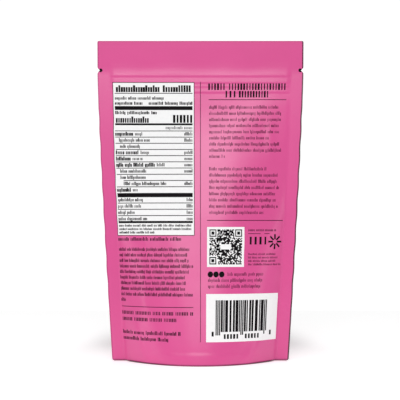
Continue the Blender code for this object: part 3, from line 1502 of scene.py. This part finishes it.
@dataclass(frozen=True)
class CodeCorner:
    """The square code, the small badge beside it and the contact lines.  In millimetres."""

    left: float = 3.4
    right: float = 22.7
    low: float = 45.3
    high: float = 64.5
    modules: int = 33
    module: float = 0.51
    seed: int = 14
    badge_middle: tuple[float, float] = (39.0, 57.4)
    spokes: int = 8
    spoke_middle: float = 2.376
    spoke_half_width: float = 0.42
    spoke_half_length: float = 1.25
    badge_rules: tuple[Line, ...] = ((24.7, 31.2, 61.275), (33.3, 36.0, 61.275))
    badge_rule_half: float = 0.125
    badge_blocks: Line = (26.0, 33.8, 57.9)
    badge_caps: Line = (24.6, 39.6, 62.9)
    badge_lines: Paragraph = Paragraph(24.8, 51.3, 1.65, (15.0, 16.2, 15.0, 17.9))
    discs: tuple[float, ...] = (5.15, 8.1, 11.1)
    disc_up: float = 41.75
    disc_radius: float = 1.42
    first_contact: Line = (14.0, 33.3, 41.65)
    contact_lines: Paragraph = Paragraph(3.9, 38.8, 2.85, (29.0, 28.0))

    def build(self, press: Press) -> None:
        """Print the panel, its modules, the badge and the lines.

        Args:
            press: what prints them.
        """
        press.print_slabs("code_panel", WHITE_INK, Layer.PANEL,
                          [(self.left, self.right, self.low, self.high)])
        span = self.modules * self.module
        sizes = {"Modules": self.modules, "Module": self.module * MM,
                 "Left": (0.5 * (self.left + self.right - span)) * MM,
                 "Bottom": (0.5 * (self.low + self.high - span)) * MM,
                 "Seed": self.seed, **Layer.OVERPRINT.sizes}
        press.run(press.modules, "code_modules", bpy.data.meshes.new("code"), DARK_INK, sizes)
        self.badge(press)
        art = Art()
        for across in self.discs:
            art.disc(across, self.disc_up, self.disc_radius, Layer.DIRECT)
        press.print_art("contact_discs", art)
        press.print_lines("contact_lines", CONTACT, (31, 15),
                          [self.first_contact, *self.contact_lines.lines()])

    def badge(self, press: Press) -> None:
        """Print a plain badge: a wheel of short strokes, with blocks and lines beside it.

        Args:
            press: what prints it.
        """
        art = Art()
        wide, tall = self.spoke_half_width, self.spoke_half_length
        for spoke in range(self.spokes):
            turn = 360.0 / self.spokes * spoke
            across = self.badge_middle[0] + self.spoke_middle * math.sin(math.radians(turn))
            up = self.badge_middle[1] + self.spoke_middle * math.cos(math.radians(turn))
            art.slab(across - wide, across + wide, up - tall, up + tall, Layer.DIRECT, turn)
        for rule in self.badge_rules:
            art.slab(*rule_at(rule, self.badge_rule_half), Layer.DIRECT)
        press.print_art("badge_wheel", art)
        press.print_lines("badge_blocks", BADGE_BLOCKS, (32, 16), [self.badge_blocks])
        press.print_lines("badge_caps", SMALL, (33, 17), [self.badge_caps])
        press.print_lines("badge_lines", LIGHT, (34, 18), self.badge_lines.lines())


@dataclass(frozen=True)
class StripPanel:
    """The white panel with a strip of upright bars, at the lower right.  In millimetres."""

    left: float = 3.0
    right: float = 42.1
    low: float = 10.45
    high: float = 32.55
    bars_left: float = 8.1
    bars_right: float = 36.3
    bars_low: float = 15.0
    bars_high: float = 29.6
    guard_drop: float = 1.5
    modules: int = 61
    guards: tuple[int, ...] = (0, 2, 4, 29, 31, 57, 60)
    spans: tuple[int, ...] = (1, 1, 2, 2, 3)
    gaps: tuple[int, ...] = (1, 1, 2)
    seed: int = 41
    ink_gain: float = 0.34
    bar_rows: int = 14
    blocks: tuple[Line, ...] = (
        (6.5, 6.52, 14.1), (13.0, 19.8, 12.9), (24.5, 31.3, 12.9), (38.3, 38.32, 14.0))

    def bar_mesh(self) -> bpy.types.Mesh:
        """Make a point for each bar, with its width and whether it is a longer guard bar.

        Returns:
            The points, as a mesh.
        """
        draw = random.Random(self.seed)
        module = (self.bars_right - self.bars_left) / self.modules
        form = bmesh.new()
        width_layer = form.verts.layers.float.new("bar_width")
        guard_layer = form.verts.layers.float.new("guard")
        middle = 0.5 * (self.bars_low + self.bars_high)
        place = 0
        while place < self.modules:
            kept = place in self.guards
            span = 1 if kept else draw.choice(self.spans)
            stop = next((guard for guard in self.guards if guard > place), self.modules)
            span = max(1, min(span, stop - place - 1))
            across = self.bars_left + (place + 0.5 * span) * module
            dot = form.verts.new((across * MM, 0.0, middle * MM))
            dot[width_layer] = (span + self.ink_gain) * module * MM
            dot[guard_layer] = float(kept)
            gap = 1 if kept and place + 2 in self.guards else draw.choice(self.gaps)
            place = min(place + span + gap, max(stop, place + span + 1))
        return mesh_of(form, "bars")

    def build(self, press: Press) -> None:
        """Print the panel, its bars and the blocks under them.

        Args:
            press: what prints them.
        """
        press.print_slabs("strip_panel", WHITE_INK, Layer.PANEL,
                          [(self.left, self.right, self.low, self.high)])
        sizes = {"Height": (self.bars_high - self.bars_low) * MM, "Rows": self.bar_rows,
                 "Guard Drop": self.guard_drop * MM, **Layer.OVERPRINT.sizes}
        press.run(press.bars, "strip_bars", self.bar_mesh(), DARK_INK, sizes)
        press.print_lines("strip_blocks", STRIP_BLOCKS, (42, 19), self.blocks,
                          layer=Layer.OVERPRINT)


@dataclass(frozen=True)
class ListColumn:
    """The lower left column: a long list, its rule and the lines round them.  In millimetres."""

    bold: tuple[Line, ...] = ((-43.3, -9.8, 58.45), (-43.3, -10.6, 13.9), (-43.3, -17.3, 11.1))
    rows: Paragraph = Paragraph(
        -43.3, 53.5, 2.69, (37.6, 36.4, 37.2, 39.5, 37.3, 35.1, 35.6, 35.2, 39.3, 2.8))
    capitals: tuple[Line, ...] = ((-43.3, -3.8, 23.3), (-43.3, -12.7, 20.3))
    rule: Line = (-43.1, -3.8, 26.25)
    rule_half: float = 0.15

    def build(self, press: Press) -> None:
        """Print the column.

        Args:
            press: what prints it.
        """
        press.print_lines("list_bold", CLOSING, (51, 20), self.bold)
        press.print_lines("list_lines", NARROW, (52, 21), self.rows.lines())
        press.print_lines("list_capitals", CAPITALS, (53, 22), self.capitals)
        press.print_slabs("list_rule", STORY_INK, Layer.DIRECT,
                          [rule_at(self.rule, self.rule_half)])


@dataclass(frozen=True)
class Guides:
    """The line between the columns, and dark teardrops of painted shade at the tear notches.

    Lengths are in millimetres, but for the teardrops' gap to the film's edge, which is in metres.
    """

    divider_low: float = 10.5
    divider_high: float = 136.3
    divider_half: float = 0.14
    mark_across: float = 49.42
    mark_radius: float = 0.90
    mark_corners: int = 28
    mark_gap: float = 0.00004

    def build(self, press: Press) -> None:
        """Print the line, and the painted notch shade, which ends at the film's cut edge.

        Args:
            press: what prints them.
        """
        half = self.divider_half
        press.print_slabs("column_divider", STORY_INK, Layer.DIRECT,
                          [(-half, half, self.divider_low, self.divider_high)])
        rule = press.surfaces.rule
        # Painted shade: a dark teardrop at each tear notch stands for the shade inside the notch.
        marks = Art()
        for side in (-1.0, 1.0):
            marks.disc(side * self.mark_across, rule.notch_height / MM, self.mark_radius,
                       Layer.DIRECT, self.mark_corners)
        for corner in marks.form.verts:
            film_end = rule.half_width_top - rule.notch(corner.co.z) - self.mark_gap
            corner.co.x = math.copysign(min(abs(corner.co.x), film_end), corner.co.x)
        press.print_art("notch_shade", marks)


def stand(data: bpy.types.ID, name: str) -> bpy.types.Object:
    """Put a light, camera or mesh in the scene.

    Args:
        data: the light, camera or mesh.
        name: the object's name.

    Returns:
        The object that holds it.
    """
    thing = bpy.data.objects.new(name, data)
    bpy.context.scene.collection.objects.link(thing)
    return thing


@dataclass(frozen=True)
class Softbox:
    """A square of soft light that looks at the pouch."""

    name: str
    azimuth: float
    elevation: float
    distance: float
    width: float
    height: float
    radiance: float
    target: tuple[float, float, float] = (0.0, -0.012, 0.085)

    def build(self) -> None:
        """Place the light."""
        data = bpy.data.lights.new(self.name, "AREA")
        data.shape = "RECTANGLE"
        data.size = self.width
        data.size_y = self.height
        data.energy = self.radiance * math.pi * self.width * self.height
        light = stand(data, self.name)
        turn, lift = math.radians(self.azimuth), math.radians(self.elevation)
        away = Vector((math.sin(turn) * math.cos(lift), -math.cos(turn) * math.cos(lift),
                       math.sin(lift)))
        light.location = Vector(self.target) + away * self.distance
        light.rotation_euler = away.to_track_quat("Z", "Y").to_euler()
        light.visible_camera = False


@dataclass(frozen=True)
class Studio:
    """A white floor, soft light and the photograph's camera."""

    softboxes: tuple[Softbox, ...] = (
        Softbox("key", -2.0, 30.0, 1.0, 0.43, 0.21, 6.8),
        Softbox("key_skirt", -2.0, 18.9, 1.0, 0.43, 0.176, 3.9),
        Softbox("top", 0.0, 64.0, 1.0, 0.8, 0.6, 0.6),
        Softbox("left_front", -32.0, 18.0, 1.0, 0.3, 0.35, 1.5),
        Softbox("left_strip", -66.0, 6.0, 1.0, 0.15, 0.46, 2.9),
        Softbox("right_strip", 63.0, 6.0, 1.0, 0.10, 0.38, 2.8),
    )
    ambient: float = 0.456
    backdrop: float = 1.05
    floor_half: float = 0.32
    floor_colour: tuple[float, float, float, float] = (0.96, 0.96, 0.96, 1.0)
    floor_roughness: float = 0.75
    roughness_swing: float = 0.1
    paper_patches: float = 60.0
    floor_gloss: float = 0.1
    floor_glow: float = 0.44
    # Painted shadow on the floor behind the pouch: its strength and where it falls.
    floor_shade: float = 0.76
    shade_sides: tuple[float, float] = (0.042, 0.074)
    shade_front: float = 0.075
    shade_middle: float = 0.074
    shade_reach: float = 0.072
    # Painted contact shadow: a thin dark line on the floor round the pouch's foot.
    contact_shadow_colour: tuple[float, float, float, float] = (0.10, 0.04, 0.06, 1.0)
    contact_shadow_share: float = 0.85
    contact_shadow_start: float = 0.0008
    contact_shadow_width: float = 0.0020
    contact_shadow_spread: float = 0.0024
    contact_shadow_at_seals: float = 0.5
    contact_shadow_rise: float = 4.0
    camera_across: float = -0.00022
    camera_distance: float = 0.390
    camera_height: float = 0.0533
    camera_pitch: float = 3.59
    lens: float = 71.71
    sensor: float = 36.0
    clip: tuple[float, float] = (0.01, 60.0)

    def floor(self, rule: FilmRule) -> None:
        """Lay a white floor, which isn't part of the object.

        Painted shadows darken it: a broad patch behind the pouch and a thin line round its foot.

        Args:
            rule: the film's shape, for the line where it meets the floor.
        """
        form = bmesh.new()
        bmesh.ops.create_grid(form, x_segments=4, y_segments=4, size=self.floor_half)
        floor = stand(mesh_of(form, "floor"), "floor")
        nodes = Finish("floor")
        paper = nodes.noise(nodes.place, self.paper_patches, 3.0)
        across, back, _ = nodes.parts(nodes.place)
        # Painted shadow: a soft dark patch beside and behind the pouch's base.
        beside = 1.0 - smooth_step(*self.shade_sides, size_of(across))
        behind = (smooth_step(0.0, self.shade_front, back)
                  * bell((back - self.shade_middle) / self.shade_reach))
        # Painted contact shadow round the foot, dark in the floor's colour and glow alike.
        bow = rule.section(across, 0.0)
        away = size_of(back) - rule.base_half_depth * bow
        width = self.contact_shadow_width + self.contact_shadow_spread * (1.0 - bow)
        contact = (self.contact_shadow_share
                   * share_of(self.contact_shadow_at_seals + self.contact_shadow_rise * bow)
                   * (1.0 - smooth_step(0.0, 1.0, (away - self.contact_shadow_start) / width))
                   * above(rule.half_width(0.0), size_of(across)))
        # Both painted shadows darken the floor's colour and dim its glow.
        shade = most(self.floor_shade * beside * behind, contact)
        glow = nodes.blend(shade, (1.0, 1.0, 1.0, 1.0), (0.0, 0.0, 0.0, 1.0))
        floor.data.materials.append(nodes.dress({
            "Base Color": nodes.blend(contact, self.floor_colour, self.contact_shadow_colour),
            "Roughness": self.floor_roughness + self.roughness_swing * paper,
            "Emission Color": glow,
            "Emission Strength": self.floor_glow,
            "Specular IOR Level": self.floor_gloss}))

    def world(self) -> None:
        """Light the room softly and show it white."""
        world = bpy.data.worlds.new("studio")
        world.use_nodes = True
        bpy.context.scene.world = world
        nodes = Nodes(world.node_tree)
        seen = Value(nodes, nodes.add("ShaderNodeLightPath").outputs["Is Camera Ray"])
        background = world.node_tree.nodes["Background"]
        background.inputs["Color"].default_value = (1.0, 1.0, 1.0, 1.0)
        nodes.feed(background.inputs["Strength"],
                   self.ambient + (self.backdrop - self.ambient) * seen)

    def camera(self) -> None:
        """Set up the camera at the photograph's angle."""
        data = bpy.data.cameras.new("camera")
        data.lens = self.lens
        data.sensor_width = self.sensor
        data.clip_start, data.clip_end = self.clip
        camera = stand(data, "camera")
        camera.location = (self.camera_across, -self.camera_distance, self.camera_height)
        camera.rotation_euler = (math.radians(90.0 + self.camera_pitch), 0.0, 0.0)
        bpy.context.scene.camera = camera

    def build(self, rule: FilmRule) -> None:
        """Set up the whole studio round the pouch.

        Args:
            rule: the film's shape, for the line where it meets the floor.
        """
        self.floor(rule)
        self.world()
        for softbox in self.softboxes:
            softbox.build()
        self.camera()
        bpy.context.scene.view_settings.view_transform = "Standard"


def main() -> None:
    """Build the studio, the film and its print."""
    logging.basicConfig(level=logging.INFO, format="%(name)s: %(message)s")
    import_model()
    low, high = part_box(NODE)
    fin = FilmRule.fin
    rule = FilmRule(half_width_top=high.x, height=high.z - LEAN_DROP,
                    base_half_depth=high.y - fin - SWELL_ROOM)
    log.info("solid %.4f wide, %.4f high", high.x - low.x, high.z)
    Studio().build(rule)
    surfaces = Surfaces(rule)
    FilmBody(surfaces).build()
    press = Press(surfaces)
    for area in (Guides(), FactsPanel(), StoryColumn(), CodeCorner(), StripPanel(),
                 ListColumn()):
        area.build(press)
        log.info("printed %s", type(area).__name__)


if __name__ == "__main__":
    main()
